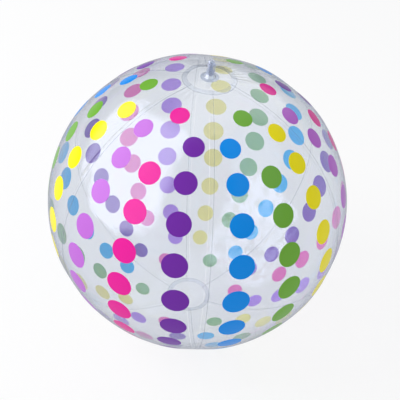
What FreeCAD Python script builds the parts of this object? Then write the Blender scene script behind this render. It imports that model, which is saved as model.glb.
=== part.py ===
import FreeCAD, Part
import math
import os

from FreeCAD import Vector

# Inflatable beach ball: six clear film gores lap-welded along their meridians, closed at the poles by
# two welded end discs. The top disc carries a soft moulded valve: a flange welded under the film, a
# thin skirt that rolls inside out when the stem is pushed in, the stem with its non-return flap, and
# a plug on a strap. All sizes are in mm. +Z runs up the valve axis, and the origin is the lowest
# point of the ball, where it touches the ground.

# Ball, measured over the outside of the gores
ball_diameter = 388.0
ball_height = 382.0
film = 0.3
gore_count = 6

# Lap welds between gores
lap_width = 5.0
lap_root = 1.0
film_edge_gap = 0.1

# End discs, welded over the gores' ends
disc_radius = 32.0
disc_weld_width = 6.0
lap_to_disc_gap = 0.3

# Valve flange, welded under the top disc around the disc's hole
flange_radius = 10.8
flange_thickness = 0.8
flange_hole_radius = 6.4
film_hole_radius = 7.5

# Skirt, the thin cone between the flange and the stem
skirt_foot_radius = 7.2
skirt_wall = 0.5
skirt_rise = 5.0
skirt_to_stem_gap = 0.15
skirt_to_flange_gap = 0.02

# Stem; heights are above the top disc's outer face
stem_radius = 3.6
bore_radius = 2.3
stem_foot_height = 3.2
stem_length = 13.2
lip_radius = 4.4
lip_thickness = 1.4
stem_edge_round = 0.35

# Strap ring, slipped over the stem
ring_clearance = 0.05
ring_wall = 1.0
ring_height = 1.6
ring_foot_height = 6.0

# Plug
shank_clearance = 0.05
shank_length = 8.0
shank_chamfer = 0.5
plug_head_radius = 4.2
plug_head_side = 2.2
plug_head_dome = 2.6
plug_seat_gap = 0.1

# Strap from the ring to the plug's head
strap_width = 2.4
strap_thickness = 0.8
strap_stand_off = 0.5
strap_root_length = 0.25
strap_to_head_gap = 0.15

# Non-return flap and its seat, at the stem's lower end
seat_hole_radius = 1.9
seat_thickness = 1.0
flap_radius = 3.0
flap_thickness = 0.4
flap_seat_gap = 0.1
hinge_block_depth = 0.7
hinge_block_width = 3.0
hinge_gap = 0.15

# Ranges of the moving parts, for the joints
push_travel = 17.0
pull_travel = 10.0

centre_z = ball_height / 2 + film
disc_top_z = centre_z + ball_height / 2 + film
gore_angle = 360.0 / gore_count
gore_end_radius = disc_radius - disc_weld_width
lap_end_radius = disc_radius + lap_to_disc_gap
UP = Vector(0, 0, 1)


def half_axes(offset):
    """Half the width and half the height of the ball's surface, moved outwards by offset."""
    return ball_diameter / 2 + offset, ball_height / 2 + offset


def surface_z(radius, offset, side=1):
    """Height of the offset surface at a distance from the axis, on the upper or lower side."""
    half_width, half_height = half_axes(offset)
    return centre_z + side * half_height * math.sqrt(1 - (radius / half_width) ** 2)


def meridian(offset, radius_a, side_a, radius_b, side_b):
    """Arcs of the offset surface in the XZ plane, from a lower place a to a higher place b.
    They are parted at the equator, so that an edge marks the ball's widest place."""
    half_width, half_height = half_axes(offset)
    if side_a < side_b:
        lower = meridian(offset, radius_a, side_a, half_width, side_a)
        return lower + meridian(offset, half_width, side_b, radius_b, side_b)
    angle_a = side_a * math.acos(radius_a / half_width)
    angle_b = side_b * math.acos(radius_b / half_width)
    sideways = Vector(half_width, 0, 0)
    upwards = Vector(0, 0, half_height)
    if half_width >= half_height:
        curve = Part.Ellipse(sideways, upwards, Vector())
    else:
        curve = Part.Ellipse(upwards, sideways, Vector())
        angle_a, angle_b = math.pi / 2 - angle_b, math.pi / 2 - angle_a
    edge = curve.toShape(angle_a, angle_b)
    edge.translate(Vector(0, 0, centre_z))
    return [edge]


def film_section(inner, outer, radius_a, side_a, radius_b, side_b):
    """Cut through the film in the XZ plane, between two offsets and two distances from the axis."""
    corners = [
        Vector(radius, 0, surface_z(radius, offset, side))
        for radius, side in ((radius_a, side_a), (radius_b, side_b))
        for offset in (inner, outer)
    ]
    edges = [
        *meridian(inner, radius_a, side_a, radius_b, side_b),
        Part.makeLine(corners[2], corners[3]),
        *meridian(outer, radius_a, side_a, radius_b, side_b),
        Part.makeLine(corners[1], corners[0]),
    ]
    return Part.Face(Part.Wire(Part.sortEdges(edges)[0]))


def revolved(section, start=0.0, sweep=360.0):
    """Turn a section round the valve axis, from a start angle through a sweep."""
    turned = section.copy()
    turned.rotate(Vector(), UP, start)
    return turned.revolve(Vector(), UP, sweep)


def turned_part(points):
    """Solid of revolution from a closed outline of (radius, height) points."""
    corners = [Vector(radius, 0, z) for radius, z in points]
    return revolved(Part.Face(Part.makePolygon(corners + corners[:1])))


def across(angle):
    """Unit vectors along a seam's meridian plane and square to it, towards the next gore."""
    turn = math.radians(angle)
    along = Vector(math.cos(turn), math.sin(turn), 0)
    return along, Vector(-along.y, along.x, 0)


def crossing(point_a, along_a, point_b, along_b):
    """Where two horizontal lines meet."""
    step = point_b - point_a
    turn = along_a.x * along_b.y - along_a.y * along_b.x
    return point_a + along_a * ((step.x * along_b.y - step.y * along_b.x) / turn)


def column(corners):
    """Upright prism over a horizontal outline, taller than the ball."""
    base = Part.Face(Part.makePolygon(corners + corners[:1]))
    base.translate(Vector(0, 0, -ball_height))
    return base.extrude(Vector(0, 0, 3 * ball_height))


def gore_wedge(low_angle, high_angle):
    """Column that trims a gore's film: under one neighbour's lap, and short of the other's film."""
    low_along, low_across = across(low_angle)
    high_along, high_across = across(high_angle)
    low_point = low_across * (-lap_width / 2)
    high_point = high_across * (-lap_width / 2 - film_edge_gap)
    tip = crossing(low_point, low_along, high_point, high_along)
    reach = ball_diameter + lap_width
    return column([tip, low_point + low_along * reach, high_point + high_along * reach])


def lap_slab(angle):
    """Column that trims a lap strip to its width, with the root where it joins its own gore."""
    along, square = across(angle)
    root = square * (-lap_width / 2 - film_edge_gap - lap_root)
    edge = square * (lap_width / 2)
    reach = ball_diameter
    return column([root, edge, edge + along * reach, root + along * reach])


def gore(index):
    """One film gore, with the lap strip that is welded over the next gore's edge."""
    middle = -90.0
    low, high = middle - gore_angle / 2, middle + gore_angle / 2
    spare = gore_angle / 4
    section = film_section(-film, 0.0, gore_end_radius, -1, gore_end_radius, 1)
    body = revolved(section, low - spare, gore_angle + 2 * spare).common(gore_wedge(low, high))
    strip_section = film_section(0.0, film, lap_end_radius, -1, lap_end_radius, 1)
    strip = revolved(strip_section, high - spare, 2 * spare).common(lap_slab(high))
    shape = body.fuse(strip)
    shape.rotate(Vector(), UP, gore_angle * index)
    return shape


def top_disc():
    """Film disc welded over the gores' upper ends, with a hole for the valve."""
    return revolved(film_section(0.0, film, disc_radius, 1, film_hole_radius, 1))


def polar_cap(offset):
    """Solid under the ball, below the offset surface's height at the disc's rim, with a round face."""
    rim_z = surface_z(disc_radius, offset, -1)
    sag = rim_z - surface_z(0, offset, -1)
    sphere_radius = (disc_radius ** 2 + sag ** 2) / (2 * sag)
    return Part.makeSphere(sphere_radius, Vector(0, 0, rim_z - sag + sphere_radius))


def bottom_disc():
    """Whole film disc welded over the gores' lower ends."""
    shell = polar_cap(film).cut(polar_cap(0.0))
    rim_z = surface_z(disc_radius, 0.0, -1)
    return shell.common(Part.makeCylinder(disc_radius, rim_z + film, Vector(0, 0, -film)))


def valve_flange():
    """Ring welded to the underside of the top disc, curved as the film is."""
    return revolved(film_section(-flange_thickness, 0.0, flange_radius, 1, flange_hole_radius, 1))


def valve_skirt():
    """Thin cone standing on the flange's inner band, with its rim close round the stem."""
    foot = surface_z(flange_hole_radius, 0.0) + skirt_to_flange_gap
    top = disc_top_z + skirt_rise
    rim_radius = stem_radius + skirt_to_stem_gap
    slope = math.atan2(skirt_foot_radius - skirt_wall - rim_radius, top - foot)
    wide = skirt_wall / math.cos(slope)
    points = [
        (skirt_foot_radius - wide, foot),
        (skirt_foot_radius, foot),
        (rim_radius + wide, top),
        (rim_radius, top),
    ]
    return turned_part(points)


def valve_stem():
    """Stem tube with a lip at its mouth."""
    foot = disc_top_z + stem_foot_height
    top = foot + stem_length
    points = [
        (bore_radius, foot),
        (stem_radius, foot),
        (stem_radius, top - lip_thickness),
        (lip_radius - stem_edge_round, top - lip_thickness),
        (lip_radius, top - lip_thickness + stem_edge_round),
        (lip_radius, top - stem_edge_round),
        (lip_radius - stem_edge_round, top),
        (bore_radius, top),
    ]
    return turned_part(points)


def strap_ring():
    """Ring that holds the strap's lower end to the stem."""
    foot = disc_top_z + ring_foot_height
    inner = stem_radius + ring_clearance
    points = [
        (inner, foot),
        (inner + ring_wall, foot),
        (inner + ring_wall, foot + ring_height),
        (inner, foot + ring_height),
    ]
    return turned_part(points)


def plug_seat_z():
    """Height of the plug head's underside."""
    return disc_top_z + stem_foot_height + stem_length + plug_seat_gap


def plug():
    """Push-in plug: a shank in the bore under a domed head."""
    seat = plug_seat_z()
    shank = bore_radius - shank_clearance
    tip = seat - shank_length
    side_top = seat + plug_head_side
    dome_top = side_top + plug_head_dome
    outline = [
        Vector(0, 0, dome_top),
        Vector(0, 0, tip),
        Vector(shank - shank_chamfer, 0, tip),
        Vector(shank, 0, tip + shank_chamfer),
        Vector(shank, 0, seat),
        Vector(plug_head_radius, 0, seat),
        Vector(plug_head_radius, 0, side_top),
    ]
    edges = [Part.makeLine(a, b) for a, b in zip(outline, outline[1:])]
    sphere_radius = (plug_head_radius ** 2 + plug_head_dome ** 2) / (2 * plug_head_dome)
    half_turn = math.asin(min(1.0, plug_head_radius / sphere_radius)) / 2
    shoulder = Vector(
        sphere_radius * math.sin(half_turn), 0,
        dome_top - sphere_radius * (1 - math.cos(half_turn)),
    )
    edges.append(Part.Arc(outline[-1], shoulder, outline[0]).toShape())
    return revolved(Part.Face(Part.Wire(edges)))


def plug_strap():
    """Band on the +X side, from the strap ring up past the lip to the plug's head."""
    ring_radius = stem_radius + ring_clearance + ring_wall
    past_lip = max(lip_radius, plug_head_radius) + strap_stand_off
    inner = max(past_lip, ring_radius + strap_root_length)
    outer = inner + strap_thickness
    foot = disc_top_z + ring_foot_height + (ring_height - strap_thickness) / 2
    top = plug_seat_z() + (plug_head_side + strap_thickness) / 2
    high_end = plug_head_radius + strap_to_head_gap
    points = [
        (0, foot),
        (outer, foot),
        (outer, top),
        (0, top),
        (0, top - strap_thickness),
        (inner, top - strap_thickness),
        (inner, foot + strap_thickness),
        (0, foot + strap_thickness),
    ]
    corners = [Vector(x, -strap_width / 2, z) for x, z in points]
    band = Part.Face(Part.makePolygon(corners + corners[:1])).extrude(Vector(0, strap_width, 0))
    middle = (foot + top) / 2
    for radius, start, end in ((ring_radius, foot - 1, middle), (high_end, middle, top + 1)):
        band = band.cut(Part.makeCylinder(radius, end - start, Vector(0, 0, start)))
    return max(band.Solids, key=lambda solid: solid.Volume)


def seat_z():
    """Height of the flap seat's underside."""
    return disc_top_z + stem_foot_height - seat_thickness


def flap_seat():
    """Ring under the stem that the flap closes on, with the block that holds the flap's hinge edge."""
    foot = seat_z()
    points = [
        (seat_hole_radius, foot),
        (stem_radius, foot),
        (stem_radius, foot + seat_thickness),
        (seat_hole_radius, foot + seat_thickness),
    ]
    drop = flap_seat_gap + flap_thickness
    corner = Vector(-hinge_block_width / 2, flap_radius + hinge_gap, foot - drop)
    block = Part.makeBox(hinge_block_width, hinge_block_depth, drop + seat_thickness / 2, corner)
    return turned_part(points).fuse(block).removeSplitter()


def check_flap():
    """Soft round flap that air pressure presses up against the seat."""
    top = seat_z() - flap_seat_gap
    disc = Part.makeCylinder(flap_radius, flap_thickness, Vector(0, 0, top - flap_thickness))
    tab_reach = flap_radius / 2
    tab_corner = Vector(-hinge_block_width / 2, flap_radius - tab_reach, top - flap_thickness)
    tab = Part.makeBox(hinge_block_width, tab_reach, flap_thickness, tab_corner)
    return disc.fuse(tab).removeSplitter()


def main():
    shapes = {f"gore_{index + 1}": gore(index) for index in range(gore_count)}
    shapes["top_disc"] = top_disc()
    shapes["bottom_disc"] = bottom_disc()
    shapes["valve_flange"] = valve_flange()
    shapes["valve_skirt"] = valve_skirt()
    shapes["valve_stem"] = valve_stem()
    shapes["strap_ring"] = strap_ring()
    shapes["plug_strap"] = plug_strap()
    shapes["plug"] = plug()
    shapes["flap_seat"] = flap_seat()
    shapes["check_flap"] = check_flap()
    os.makedirs("parts", exist_ok=True)
    for name, shape in shapes.items():
        solid = shape.Solids[0] if len(shape.Solids) == 1 else shape
        solid.exportStep(f"parts/{name}.step")
        print(name, len(shape.Solids), shape.isValid(), round(shape.Volume, 2))
    hinge_z = seat_z() - flap_seat_gap - flap_thickness / 2
    print("flap hinge at", 0.0, flap_radius, round(hinge_z, 3))
    print("push and pull travel", push_travel, pull_travel)


main()
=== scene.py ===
import math

import bpy
import numpy as np
from mathutils import Matrix, Vector


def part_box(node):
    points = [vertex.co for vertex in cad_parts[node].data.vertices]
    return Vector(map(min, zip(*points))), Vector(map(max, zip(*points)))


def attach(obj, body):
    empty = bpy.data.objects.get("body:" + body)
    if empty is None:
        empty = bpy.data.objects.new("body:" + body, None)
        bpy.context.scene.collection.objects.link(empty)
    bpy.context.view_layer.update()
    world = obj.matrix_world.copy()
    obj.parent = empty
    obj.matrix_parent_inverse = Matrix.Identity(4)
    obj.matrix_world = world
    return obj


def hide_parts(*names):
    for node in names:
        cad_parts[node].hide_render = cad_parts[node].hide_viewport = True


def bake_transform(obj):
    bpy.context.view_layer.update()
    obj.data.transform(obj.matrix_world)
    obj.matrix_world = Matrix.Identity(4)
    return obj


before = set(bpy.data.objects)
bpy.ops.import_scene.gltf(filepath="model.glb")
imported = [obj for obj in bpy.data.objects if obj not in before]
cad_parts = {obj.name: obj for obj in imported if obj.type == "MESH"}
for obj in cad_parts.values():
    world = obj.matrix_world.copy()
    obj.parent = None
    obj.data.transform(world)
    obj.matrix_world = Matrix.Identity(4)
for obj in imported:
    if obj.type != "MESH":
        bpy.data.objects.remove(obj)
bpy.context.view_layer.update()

# Sizes, in metres. The ball's own come from the frame, and the film's details are named here.
FILM = 0.0003
HALF_WIDTH = -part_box("gore_1")[0].y
DISC_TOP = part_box("top_disc")[1].z
DISC_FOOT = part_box("bottom_disc")[0].z
DISC_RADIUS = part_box("top_disc")[1].x
CENTRE_Z = (DISC_TOP + DISC_FOOT) / 2
HALF_HEIGHT = (DISC_TOP - DISC_FOOT) / 2 - FILM
GORES = 6
GORE_ANGLE = math.tau / GORES
GORE_1_MIDDLE = -math.pi / 2
LAP = 0.005
LAP_ROOT = 0.001
EDGE_LINE = 0.0005
SKIN_GAP = 0.00002
WELD = 0.006
GORE_END = DISC_RADIUS - WELD
DISC_HOLE = 0.0075

# Depths of the film's relief: beside the seams, in their puckers, in its broad waves, and round the valve
SEAM_VALLEY = 0.0011
PUCKER = 0.00022
SWAY = 0.00035
GATHER = 0.00014
WELD_RIDGES = 0.00008

# Print: rows of dots by parametric latitude. Each side row has the longitude offset of its two columns.
# A dot's radius is largest at the equator, and loses the taper per radian of latitude.
WIDEST_DOT = 0.0163
DOT_TAPER = 0.0043
DOT_ROWS = ((6.8, 19.9), (20.4, 18.45), (34.3, 17.9), (47.4, 17.8), (59.4, 18.5))
MIDDLE_ROWS = (6.8, 20.4, 34.3, 47.4, 69.1)
PRINTS = (("lilac", "pink", "purple"), ("blue", "green", "yellow"))
# Ink lies just outside the film, between these lifts.
INK_OUTER_LIFT = 0.00009
INK_INNER_LIFT = 0.00003

# Ink colours as printed, and as they look through the film from the inside, made paler and brighter there
# as painted light for the light that shines through the ink
INKS = {
    "lilac": ((0.52, 0.15, 0.66), (0.60, 0.38, 0.88)),
    "pink": ((0.84, 0.012, 0.33), (0.84, 0.26, 0.68)),
    "purple": ((0.17, 0.025, 0.38), (0.34, 0.20, 0.66)),
    "blue": ((0.00, 0.27, 0.84), (0.10, 0.66, 0.86)),
    "green": ((0.17, 0.43, 0.045), (0.40, 0.66, 0.42)),
    "yellow": ((0.96, 0.84, 0.006), (0.84, 0.83, 0.48)),
}

# The camera's place, seen from the ball's centre
VIEW_AZIMUTH = math.radians(24.06)
VIEW_ELEVATION = math.radians(41.82)
VIEW_ROLL = math.radians(5.75)
VIEW_DISTANCE = 0.9097
VIEW_LENS = 62.06
AIM_OFFSET = Vector((0.0022, 0.0024, 0.0015))

# What shiny surfaces reflect: the studio's own tone, then its panels, each laid over the ones before it.
# A panel has its direction (right, up, back of the camera), half width, half height, soft edge and colour.
STUDIO_TONE = (0.42, 0.46, 0.52, 1)
DARK_CORNER = ((-0.45, 0.35, -0.85), 1.2, 1.2, 0.6, (0.05, 0.06, 0.08))
FILL_BOX = ((0.62, 0.42, 0.66), 0.35, 0.60, 0.10, (0.95, 1.15, 1.5))
TOP_BOX = ((0.15, 0.95, 0.1), 0.8, 0.35, 0.15, (1.5, 1.55, 1.65))
KEY_BOX = ((-0.82, 0.30, 0.52), 0.70, 0.86, 0.16, (3.5, 3.55, 4.3))
STUDIO_PANELS = (DARK_CORNER, FILL_BOX, TOP_BOX, KEY_BOX)
KEY_LAMP_PLACE = (-0.80, 0.42, 0.44)
KEY_LAMP_DISTANCE = 2.4
KEY_LAMP_SIZE = 1.6
KEY_LAMP_POWER = 42.0


def smoothstep(low, high, value):
    t = np.clip((value - low) / (high - low), 0, 1)
    return t * t * (3 - 2 * t)


def relief(longitude, latitude):
    """Depth of the blown-up film's waves below its ideal shape: seams draw it in, and pucker it."""
    radius = HALF_WIDTH * np.cos(latitude)
    along = HALF_WIDTH * latitude
    turn = (longitude - GORE_1_MIDDLE + GORE_ANGLE / 2) / GORE_ANGLE
    seam = np.round(turn)
    beside = radius * np.sin(np.abs(turn - seam) * GORE_ANGLE)
    valley = SEAM_VALLEY * np.exp(-(beside / 0.020) ** 2)
    wander = 1.6 * np.sin(31 * along + 2.1 * seam) + 0.9 * np.sin(83 * along - 1.3 * seam)
    fold = 1 + np.sin(560 * along + wander * 2 + 2.4 * seam)
    patches = 0.5 + 0.5 * np.sin(47 * along + 1.7 * seam + 1)
    pucker = PUCKER * fold * patches * np.exp(-(beside / 0.009) ** 2)
    waves = (
        np.sin(3 * longitude + 2.2 * latitude + 0.4)
        + np.sin(5 * longitude - 3.1 * latitude + 2)
        + 0.6 * np.sin(8 * longitude + 5.3 * latitude + 1)
    )
    sway = SWAY * (2.6 + waves)
    gather = GATHER * (1 + np.cos(36 * longitude)) * np.exp(-((radius - 0.038) / 0.007) ** 2)
    return (valley + pucker + sway + gather) * smoothstep(0.014, 0.040, radius)


def surface(longitude, latitude, lift):
    """Points of the skin at a lift outwards from the film's outer face, by parametric latitude."""
    out = lift - relief(longitude, latitude)
    flat = (HALF_WIDTH + out) * np.cos(latitude)
    height = CENTRE_Z + (HALF_HEIGHT + out) * np.sin(latitude)
    return np.stack([flat * np.cos(longitude), flat * np.sin(longitude), height], axis=-1)


def latitude_at(radius):
    """Parametric latitude of the upper circle that has this radius."""
    return math.acos(radius / HALF_WIDTH)


def grid_faces(rows, columns, first, wrap):
    """Quads of a grid, anticlockwise where columns run to the right and rows upwards."""
    row, column = np.meshgrid(
        np.arange(rows - 1), np.arange(columns if wrap else columns - 1), indexing="ij"
    )
    after = (column + 1) % columns
    corners = (row, column), (row, after), (row + 1, after), (row + 1, column)
    return np.stack([r * columns + c for r, c in corners], axis=-1).reshape(-1, 4) + first


def shell(
    outer, inner, materials, wrap=False, cap=None, clear_columns=(), edge_columns=(), edge_rows=()
):
    """Closed thin solid between two grids of points.
    Materials are for its outer face, inner face and edges. On the outer face, the clear columns take
    the inner face's material, and the edge columns and rows take the edges'.
    cap closes the first or last row of a wrapped grid with a face."""
    rows, columns = outer.shape[:2]
    count = rows * columns
    points = np.concatenate([outer.reshape(-1, 3), inner.reshape(-1, 3)])
    outside = grid_faces(rows, columns, 0, wrap)
    inside = grid_faces(rows, columns, count, wrap)[:, ::-1]
    index = np.arange(count).reshape(rows, columns)
    across = np.roll(index, -1, axis=1) if wrap else index[:, 1:]
    here = index if wrap else index[:, :-1]
    rims = []
    if cap != "first":
        rims.append(np.stack([here[0], here[0] + count, across[0] + count, across[0]], axis=-1))
    if cap != "last":
        rims.append(np.stack([here[-1], across[-1], across[-1] + count, here[-1] + count], axis=-1))
    if not wrap:
        low, high = index[:-1, 0], index[1:, 0]
        rims.append(np.stack([low, high, high + count, low + count], axis=-1))
        low, high = index[:-1, -1], index[1:, -1]
        rims.append(np.stack([low, low + count, high + count, high], axis=-1))
    kinds = np.zeros((rows - 1, columns if wrap else columns - 1), int)
    for column in clear_columns:
        kinds[:, column] = 1
    for column in edge_columns:
        kinds[:, column] = 2
    for row in edge_rows:
        kinds[row, :] = 2
    rim = np.concatenate(rims)
    faces = [face.tolist() for face in (*outside, *inside, *rim)]
    kinds = [*kinds.ravel(), *[1] * len(inside), *[2] * len(rim)]
    if cap == "first":
        faces += [index[0][::-1].tolist(), (index[0] + count).tolist()]
        kinds += [0, 1]
    if cap == "last":
        faces += [index[-1].tolist(), (index[-1] + count)[::-1].tolist()]
        kinds += [0, 1]
    return points, faces, kinds, materials


def piece(name, parts):
    """One object from one or more (points, faces, kinds, materials) that share their materials."""
    points, faces, kinds = [], [], []
    first = 0
    for part_points, part_faces, part_kinds, materials in parts:
        points.extend(map(tuple, part_points))
        faces.extend([corner + first for corner in face] for face in part_faces)
        kinds.extend(int(kind) for kind in part_kinds)
        first += len(part_points)
    mesh = bpy.data.meshes.new(name)
    mesh.from_pydata(points, [], faces)
    for material in parts[0][3]:
        mesh.materials.append(material)
    mesh.polygons.foreach_set("material_index", kinds)
    mesh.shade_smooth()
    mesh.set_sharp_from_angle(angle=math.radians(50))
    mesh.update()
    made = bpy.data.objects.new(name, mesh)
    bpy.context.scene.collection.objects.link(made)
    return made


class Nodes:
    """Short way to write a node tree."""

    def __init__(self, tree):
        self.tree = tree
        tree.nodes.clear()

    def add(self, kind, **values):
        node = self.tree.nodes.new(kind)
        for key, value in values.items():
            if hasattr(node, key):
                setattr(node, key, value)
        return node

    def put(self, socket, value):
        if isinstance(value, bpy.types.NodeSocket):
            self.tree.links.new(value, socket)
        else:
            socket.default_value = value

    def math(self, operation, a, b=0.0, c=0.0, clamp=False):
        node = self.add("ShaderNodeMath", operation=operation, use_clamp=clamp)
        for socket, value in zip(node.inputs, (a, b, c)):
            self.put(socket, value)
        return node.outputs[0]

    def blend(self, share, a, b):
        node = self.add("ShaderNodeMix", data_type="RGBA")
        self.put(node.inputs["Factor"], share)
        self.put(node.inputs[6], a)
        self.put(node.inputs[7], b)
        return node.outputs[2]

    def mix(self, share, a, b):
        node = self.add("ShaderNodeMixShader")
        self.put(node.inputs[0], share)
        self.tree.links.new(a, node.inputs[1])
        self.tree.links.new(b, node.inputs[2])
        return node.outputs[0]

    def noise(self, scale, detail=2.0, roughness=0.5):
        node = self.add("ShaderNodeTexNoise")
        node.inputs["Scale"].default_value = scale
        node.inputs["Detail"].default_value = detail
        node.inputs["Roughness"].default_value = roughness
        place = self.add("ShaderNodeTexCoord")
        self.tree.links.new(place.outputs["Object"], node.inputs["Vector"])
        return node.outputs["Fac"]

    def bump(self, height, distance, strength=1.0):
        node = self.add("ShaderNodeBump")
        node.inputs["Distance"].default_value = distance
        node.inputs["Strength"].default_value = strength
        self.tree.links.new(height, node.inputs["Height"])
        return node.outputs["Normal"]

    def shader(self, kind, **values):
        node = self.add(kind)
        for key, value in values.items():
            self.put(node.inputs[key.replace("_", " ")], value)
        return node.outputs[0]

    def grazing(self):
        """0 where the surface is seen square on, 1 at its outline."""
        node = self.add("ShaderNodeLayerWeight")
        node.inputs["Blend"].default_value = 0.5
        return node.outputs["Facing"]

    def out(self, shader, kind="ShaderNodeOutputMaterial"):
        self.tree.links.new(shader, self.add(kind).inputs["Surface"])


def material(name):
    made = bpy.data.materials.new(name)
    made.use_nodes = True
    return made, Nodes(made.node_tree)


def film_material(name, clear, haze, limb, gloss):
    """Clear film: what comes through is tinted, dust and haze scatter a little, and it reflects as a slab.
    The long path through the film at the outline makes it darker there."""
    made, n = material(name)
    grazing = n.grazing()
    ripple = n.math("ADD", n.noise(16.0, 2.0), n.math("MULTIPLY", n.noise(95.0, 3.0), 0.12))
    normal = n.bump(ripple, 0.0035, 0.5)
    outline = n.math("POWER", grazing, 9.0)
    through = n.blend(n.math("MULTIPLY", outline, 0.95, clamp=True), (*clear, 1), (*limb, 1))
    passing = n.shader("ShaderNodeBsdfTransparent", Color=through)
    scatter = n.shader("ShaderNodeBsdfDiffuse", Color=(0.78, 0.81, 0.88, 1), Normal=normal)
    patchy = n.math("MULTIPLY_ADD", n.noise(9.0, 3.0), 0.04, haze - 0.02)
    amount = n.math("MULTIPLY_ADD", n.math("POWER", grazing, 3.0), 0.16, patchy, clamp=True)
    body = n.mix(amount, passing, scatter)
    shine = n.shader("ShaderNodeBsdfGlossy", Color=(1, 1, 1, 1), Roughness=0.06, Normal=normal)
    mirror = n.math("MULTIPLY_ADD", n.math("POWER", grazing, 5.0), 0.95, gloss, clamp=True)
    n.out(n.mix(mirror, body, shine))
    return made


def inner_face_material():
    """The film's inner face: the outer face's material already holds the whole slab's look."""
    made, n = material("film_inner_face")
    dust = n.math("MULTIPLY", n.noise(60.0, 2.0), 0.012)
    passing = n.shader("ShaderNodeBsdfTransparent", Color=(1, 1, 1, 1))
    scatter = n.shader("ShaderNodeBsdfDiffuse", Color=(0.85, 0.87, 0.9, 1))
    n.out(n.mix(dust, passing, scatter))
    return made


def ink_material(name, colour, back):
    """Glossy screen print with slightly uneven ink. From the inside, light from outside shines through it,
    and an emission shader adds a painted glow in the ink's colour.
    """
    made, n = material(name)
    uneven = n.math("MULTIPLY_ADD", n.noise(420.0, 4.0, 0.65), 0.30, -0.05, clamp=True)
    shade = tuple(channel * 0.80 for channel in colour)
    tone = n.blend(uneven, (*colour, 1), (*shade, 1))
    if back:
        lit = n.shader("ShaderNodeBsdfDiffuse", Color=tone)
        glow = n.shader("ShaderNodeBsdfTranslucent", Color=tone)
        # Painted glow: the inside face of the ink emits light in its own colour, though it is no lamp.
        painted_glow = n.shader("ShaderNodeEmission", Color=tone, Strength=0.36)
        both = n.add("ShaderNodeAddShader")
        n.tree.links.new(n.mix(0.5, lit, glow), both.inputs[0])
        n.tree.links.new(painted_glow, both.inputs[1])
        n.out(both.outputs[0])
    else:
        grain = n.bump(n.noise(900.0, 2.0), 0.00002)
        body = n.add("ShaderNodeBsdfPrincipled")
        n.put(body.inputs["Base Color"], tone)
        n.put(body.inputs["Roughness"], 0.16)
        n.put(body.inputs["Specular IOR Level"], 0.22)
        n.put(body.inputs["Normal"], grain)
        n.out(body.outputs[0])
    return made


def pvc_material(name, cloud, tint):
    """Soft clear moulded PVC: milky in the mass, smooth and glossy outside."""
    made, n = material(name)
    grazing = n.grazing()
    normal = n.bump(n.noise(500.0, 2.0), 0.00006)
    passing = n.shader("ShaderNodeBsdfTransparent", Color=(*tint, 1))
    milk = n.shader("ShaderNodeBsdfDiffuse", Color=(0.74, 0.77, 0.83, 1), Normal=normal)
    glow = n.shader("ShaderNodeBsdfTranslucent", Color=(0.80, 0.83, 0.88, 1))
    mass = n.mix(0.5, milk, glow)
    thick = n.math("MULTIPLY_ADD", n.math("POWER", grazing, 1.6), 0.5, cloud)
    patchy = n.math("MULTIPLY_ADD", n.noise(260.0, 2.0), 0.12, n.math("SUBTRACT", thick, 0.06), clamp=True)
    body = n.mix(patchy, passing, mass)
    shine = n.shader("ShaderNodeBsdfGlossy", Color=(1, 1, 1, 1), Roughness=0.12, Normal=normal)
    mirror = n.math("MULTIPLY_ADD", n.math("POWER", grazing, 4.0), 0.7, 0.09, clamp=True)
    n.out(n.mix(mirror, body, shine))
    return made


def beside_seam(seam, across, latitude):
    """Longitude of a line at a constant distance across from a seam's meridian plane."""
    return seam + np.arcsin(across / (HALF_WIDTH * np.cos(latitude)))


def gore(index, materials):
    """A film gore with the lap strip that lies over the next gore's edge."""
    middle = GORE_1_MIDDLE + index * GORE_ANGLE
    low, high = middle - GORE_ANGLE / 2, middle + GORE_ANGLE / 2
    end = latitude_at(GORE_END)
    latitude = np.linspace(-end, end, 181)[:, None]
    start = beside_seam(low, -LAP / 2, latitude)
    line = beside_seam(low, -LAP / 2 + EDGE_LINE, latitude)
    root = beside_seam(high, -LAP / 2 - LAP_ROOT, latitude)
    share = np.linspace(0, 1, 61)[None, :]
    field = line + (root - line) * share
    lap_lines = (-LAP / 2 - LAP_ROOT / 2, -LAP / 2, -LAP / 4, 0, LAP / 4, LAP / 2 - EDGE_LINE, LAP / 2)
    strip = [beside_seam(high, across, latitude) for across in lap_lines]
    longitude = np.concatenate([start, field, *strip], axis=1)
    raised = np.concatenate([np.zeros(62), [0.5], np.ones(6)])[None, :]
    outer = surface(longitude, latitude, FILM * raised)
    inner = surface(longitude, latitude, FILM * (raised - 1) + SKIN_GAP * raised)
    made = piece(f"film_gore_{index + 1}", [
        shell(outer, inner, materials, clear_columns=range(62, 67), edge_columns=(-1,)),
    ])
    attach(made, "ball")
    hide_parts(f"gore_{index + 1}")
    return made


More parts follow.
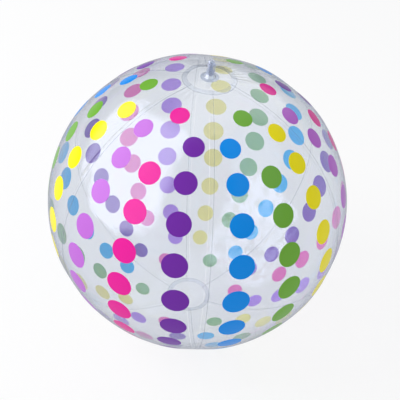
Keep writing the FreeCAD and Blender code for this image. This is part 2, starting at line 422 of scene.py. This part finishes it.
def end_disc(name, node, side, materials):
    """Round film patch over the gores' ends, with the ringed band that its weld leaves."""
    hole = DISC_HOLE if side > 0 else 0.0008
    radii = np.concatenate([
        np.linspace(DISC_RADIUS, DISC_RADIUS - EDGE_LINE, 2),
        np.linspace(DISC_RADIUS - EDGE_LINE, GORE_END, 15)[1:],
        np.linspace(GORE_END, hole, 18)[1:],
    ])
    if side < 0:
        radii = radii[::-1]
    segments = 144
    radius = radii[:, None]
    longitude = np.linspace(0, math.tau, segments, endpoint=False)[None, :] + 0 * radius
    latitude = side * np.arccos(radius / HALF_WIDTH) + 0 * longitude
    climb = smoothstep(GORE_END - 0.005, GORE_END - 0.001, radius)
    in_weld = smoothstep(GORE_END, GORE_END + 0.0006, radius) * (
        1 - smoothstep(DISC_RADIUS - 0.0014, DISC_RADIUS - 0.0007, radius)
    )
    ridges = WELD_RIDGES * in_weld * (0.5 + 0.5 * np.sin(radius * math.tau / 0.0022))
    outer = surface(longitude, latitude, FILM * (1 + climb) - ridges)
    inner = surface(longitude, latitude, FILM * climb + SKIN_GAP - ridges)
    rim = 0 if side > 0 else len(radii) - 2
    made = piece(name, [
        shell(outer, inner, materials, wrap=True, cap=None if side > 0 else "first", edge_rows=(rim,)),
    ])
    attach(made, "ball")
    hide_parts(node)
    return made


def dot(longitude, latitude, materials):
    """One printed dot, a round patch of ink on the film."""
    flat, high = HALF_WIDTH * math.cos(latitude), HALF_HEIGHT * math.sin(latitude)
    middle = np.array([flat * math.cos(longitude), flat * math.sin(longitude), high])
    east = np.array([-math.sin(longitude), math.cos(longitude), 0])
    normal = middle / np.array([HALF_WIDTH, HALF_WIDTH, HALF_HEIGHT]) ** 2
    normal /= np.linalg.norm(normal)
    north = np.cross(normal, east)
    size = WIDEST_DOT - DOT_TAPER * abs(latitude)
    radius = size * np.array([1.0, 0.85, 0.6, 0.35, 0.1])[:, None]
    turn = np.linspace(0, math.tau, 56, endpoint=False)[None, :]
    right, up = radius * np.cos(turn), radius * np.sin(turn)
    place = middle + right[..., None] * east + up[..., None] * north
    around = np.arctan2(place[..., 1], place[..., 0])
    level = np.arctan2(place[..., 2] / HALF_HEIGHT, np.hypot(place[..., 0], place[..., 1]) / HALF_WIDTH)
    outer = surface(around, level, INK_OUTER_LIFT)
    inner = surface(around, level, INK_INNER_LIFT)
    return shell(outer, inner, materials, wrap=True, cap="last")


def dots(index, inks):
    """A gore's print: a middle column of dots and one on each side, in the print's three colours."""
    middle = GORE_1_MIDDLE + index * GORE_ANGLE
    colours = PRINTS[index % 2]
    for column, colour in zip((-1, 0, 1), colours):
        rows = [(level, 0.0) for level in MIDDLE_ROWS] if column == 0 else DOT_ROWS
        made = piece(f"dots_gore{index + 1}_{colour}", [
            dot(middle + column * math.radians(offset), side * math.radians(level), inks[colour])
            for level, offset in rows
            for side in (-1, 1)
        ])
        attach(made, "ball")


def turned(name, outline, segments, materials):
    """Solid of revolution about the valve axis from a closed (radius, height) outline, clockwise."""
    turn = np.linspace(0, math.tau, segments, endpoint=False)
    count = len(outline)
    points = [
        (radius * math.cos(angle), radius * math.sin(angle), height)
        for angle in turn
        for radius, height in outline
    ]
    faces = []
    for step in range(segments):
        for corner in range(count):
            here, after = step * count, (step + 1) % segments * count
            beyond = (corner + 1) % count
            faces.append([here + corner, after + corner, after + beyond, here + beyond])
    return piece(name, [(points, faces, [0] * len(faces), materials)])


def valve_skirt(materials):
    """Thin trumpet between the flange and the stem, which rolls inside out when the stem is pushed in."""
    low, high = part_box("valve_skirt")
    foot_radius, wall = high.x, 0.0005
    rim_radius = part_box("flap_seat")[1].x + 0.00015
    narrowing, rise = rim_radius + wall - foot_radius, high.z - low.z
    outside = [
        (foot_radius + narrowing * (1 - (1 - t) ** 1.25), low.z + rise * t)
        for t in np.linspace(0, 1, 25)
    ]
    inside = [(radius - wall * 0.9, height) for radius, height in outside[::-1]]
    made = turned("skirt", outside + inside, 96, materials)
    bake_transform(made)
    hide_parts("valve_skirt")
    return made


def plug_strap(materials):
    """Bowed band from the ring on the stem up to the plug's head, with rounded edges."""
    low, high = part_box("plug_strap")
    half_width, thickness = high.y, 0.0008
    reach, inset = high.x - thickness / 2, low.x + 0.0002
    foot, top = low.z + thickness / 2, high.z - thickness / 2
    bend = 0.0011
    path = [(inset, foot)]
    for x, z, start in ((reach - bend, foot + bend, -90), (reach - bend, top - bend, 0)):
        for turn in np.radians(np.linspace(start, start + 90, 9)):
            path.append((x + bend * math.cos(turn), z + bend * math.sin(turn)))
        if start < 0:
            path += [(reach, z) for z in np.linspace(foot + bend, top - bend, 14)[1:-1]]
    path.append((inset, top))
    path = np.array(path)
    along = np.gradient(path, axis=0)
    along /= np.linalg.norm(along, axis=1)[:, None]
    side = np.stack([along[:, 1], -along[:, 0]], axis=-1)
    points, faces = [], []
    corners = []
    for turn in np.linspace(0, math.tau, 20, endpoint=False):
        across, deep = math.cos(turn), math.sin(turn)
        wide = half_width * np.sign(across) * abs(across) ** 0.45
        corners.append((wide, thickness / 2 * np.sign(deep) * abs(deep) ** 0.6))
    for (x, z), (out_x, out_z) in zip(path, side):
        points += [(x + out_x * deep, wide, z + out_z * deep) for wide, deep in corners]
    count = len(corners)
    for step in range(len(path) - 1):
        for corner in range(count):
            beyond = (corner + 1) % count
            faces.append([step * count + corner, step * count + beyond,
                          (step + 1) * count + beyond, (step + 1) * count + corner])
    faces.append(list(range(count))[::-1])
    faces.append([(len(path) - 1) * count + corner for corner in range(count)])
    made = piece("strap", [(points, faces, [0] * len(faces), materials)])
    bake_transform(made)
    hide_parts("plug_strap")
    return made


def dress(node, made):
    """Gives a CAD node a new material."""
    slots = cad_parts[node].material_slots
    for slot in slots:
        slot.material = made


def view_axes():
    """Right, up and back of the upright camera."""
    sine, cosine = math.sin(VIEW_AZIMUTH), math.cos(VIEW_AZIMUTH)
    level, rise = math.cos(VIEW_ELEVATION), math.sin(VIEW_ELEVATION)
    right = Vector((cosine, sine, 0))
    back = Vector((sine * level, -cosine * level, rise))
    return right, back.cross(right), back


def add_camera():
    centre = Vector((0, 0, CENTRE_Z))
    back = view_axes()[2]
    data = bpy.data.cameras.new("camera")
    data.lens = VIEW_LENS
    made = bpy.data.objects.new("camera", data)
    made.location = centre + back * VIEW_DISTANCE
    look = centre + AIM_OFFSET - made.location
    turn = look.to_track_quat("-Z", "Y").to_matrix() @ Matrix.Rotation(VIEW_ROLL, 3, "Z")
    made.rotation_euler = turn.to_euler()
    bpy.context.scene.collection.objects.link(made)
    bpy.context.scene.camera = made


def studio_direction(right_part, up_part, back_part):
    right, up, back = view_axes()
    return (right * right_part + up * up_part + back * back_part).normalized()


def softbox_mask(n, direction, middle, half_width, half_height, soft):
    """1 inside a rounded rectangle of the sky, falling to 0 over its soft edge."""
    upright = (studio_direction(0, 1, 0) - middle * middle.dot(studio_direction(0, 1, 0))).normalized()
    sideways = upright.cross(middle)
    parts = []
    for axis in (middle, sideways, upright):
        node = n.add("ShaderNodeVectorMath", operation="DOT_PRODUCT")
        n.put(node.inputs[0], direction)
        node.inputs[1].default_value = axis
        parts.append(node.outputs["Value"])
    ahead = n.math("MAXIMUM", parts[0], 0.02)
    masks = []
    for part, half in zip(parts[1:], (half_width, half_height)):
        node = n.add("ShaderNodeMapRange", interpolation_type="SMOOTHSTEP")
        n.put(node.inputs["Value"], n.math("ABSOLUTE", n.math("DIVIDE", part, ahead)))
        node.inputs["From Min"].default_value = half - soft
        node.inputs["From Max"].default_value = half + soft
        node.inputs["To Min"].default_value = 1
        node.inputs["To Max"].default_value = 0
        masks.append(node.outputs["Result"])
    return n.math("MULTIPLY", masks[0], masks[1])


def add_world():
    """White studio. Shiny surfaces reflect its softboxes and darker corners."""
    world = bpy.data.worlds.new("studio")
    bpy.context.scene.world = world
    world.use_nodes = True
    n = Nodes(world.node_tree)
    direction = n.add("ShaderNodeTexCoord").outputs["Generated"]
    tone = STUDIO_TONE
    for place, half_width, half_height, soft, colour in STUDIO_PANELS:
        mask = softbox_mask(n, direction, studio_direction(*place), half_width, half_height, soft)
        tone = n.blend(mask, tone, (*colour, 1))
    path = n.add("ShaderNodeLightPath")
    soft = n.shader("ShaderNodeBackground", Color=(0.97, 0.98, 1.0, 1), Strength=0.62)
    shown = n.shader("ShaderNodeBackground", Color=(0.985, 0.985, 0.99, 1), Strength=1.0)
    reflected = n.shader("ShaderNodeBackground", Color=tone, Strength=1.0)
    lit = n.mix(path.outputs["Is Camera Ray"], soft, shown)
    n.out(n.mix(path.outputs["Is Glossy Ray"], lit, reflected), "ShaderNodeOutputWorld")


def add_key_lamp():
    direction = studio_direction(*KEY_LAMP_PLACE)
    data = bpy.data.lights.new("key", "AREA")
    data.shape = "RECTANGLE"
    data.size = KEY_LAMP_SIZE
    data.size_y = KEY_LAMP_SIZE
    data.energy = KEY_LAMP_POWER
    made = bpy.data.objects.new("key", data)
    made.location = Vector((0, 0, CENTRE_Z)) + direction * KEY_LAMP_DISTANCE
    made.rotation_euler = (-direction).to_track_quat("-Z", "Y").to_euler()
    made.visible_camera = False
    made.visible_glossy = False
    bpy.context.scene.collection.objects.link(made)


def add_floor():
    """Pale table, lit from below, so that the ball leaves only a light shadow on it."""
    size, drop = 14.0, 0.0002
    mesh = bpy.data.meshes.new("floor")
    corners = [(x * size, y * size, -drop) for x, y in ((-1, -1), (1, -1), (1, 1), (-1, 1))]
    mesh.from_pydata(corners, [], [(0, 1, 2, 3)])
    made_material, n = material("pale_table")
    glow = n.shader("ShaderNodeEmission", Color=(1, 1, 1, 1), Strength=0.83)
    matt = n.shader("ShaderNodeBsdfDiffuse", Color=(0.15, 0.15, 0.153, 1))
    add = n.add("ShaderNodeAddShader")
    n.tree.links.new(glow, add.inputs[0])
    n.tree.links.new(matt, add.inputs[1])
    dim = n.shader("ShaderNodeEmission", Color=(0.84, 0.87, 0.95, 1), Strength=0.60)
    path = n.add("ShaderNodeLightPath")
    n.out(n.mix(path.outputs["Is Glossy Ray"], add.outputs[0], dim))
    mesh.materials.append(made_material)
    made = bpy.data.objects.new("floor", mesh)
    bpy.context.scene.collection.objects.link(made)


def main():
    film = film_material("clear_film", (0.875, 0.895, 0.925), 0.040, (0.26, 0.27, 0.33), 0.062)
    edge = film_material("film_edge", (0.60, 0.63, 0.68), 0.12, (0.30, 0.32, 0.36), 0.08)
    inner = inner_face_material()
    skin = (film, inner, edge)
    for index in range(GORES):
        gore(index, skin)
    end_disc("film_top_disc", "top_disc", 1, skin)
    end_disc("film_bottom_disc", "bottom_disc", -1, skin)
    inks = {}
    for colour, (front, back) in INKS.items():
        face = ink_material(f"ink_{colour}", front, False)
        # The inside inks carry painted light: paler, brighter colours and a painted glow.
        inks[colour] = (face, ink_material(f"ink_{colour}_inside", back, True), face)
    for index in range(GORES):
        dots(index, inks)
    soft_pvc = pvc_material("soft_pvc", 0.22, (0.86, 0.89, 0.93))
    thick_pvc = pvc_material("thick_pvc", 0.22, (0.82, 0.85, 0.91))
    flap_film = pvc_material("flap_film", 0.12, (0.90, 0.92, 0.95))
    valve_skirt([soft_pvc])
    plug_strap([thick_pvc])
    for node in ("valve_flange", "flap_seat"):
        dress(node, soft_pvc)
    for node in ("valve_stem", "strap_ring", "plug"):
        dress(node, thick_pvc)
    dress("check_flap", flap_film)
    add_camera()
    add_world()
    add_key_lamp()
    add_floor()
    scene = bpy.context.scene
    scene.view_settings.view_transform = "Standard"
    scene.cycles.transparent_max_bounces = 48
    scene.cycles.max_bounces = 12


main()
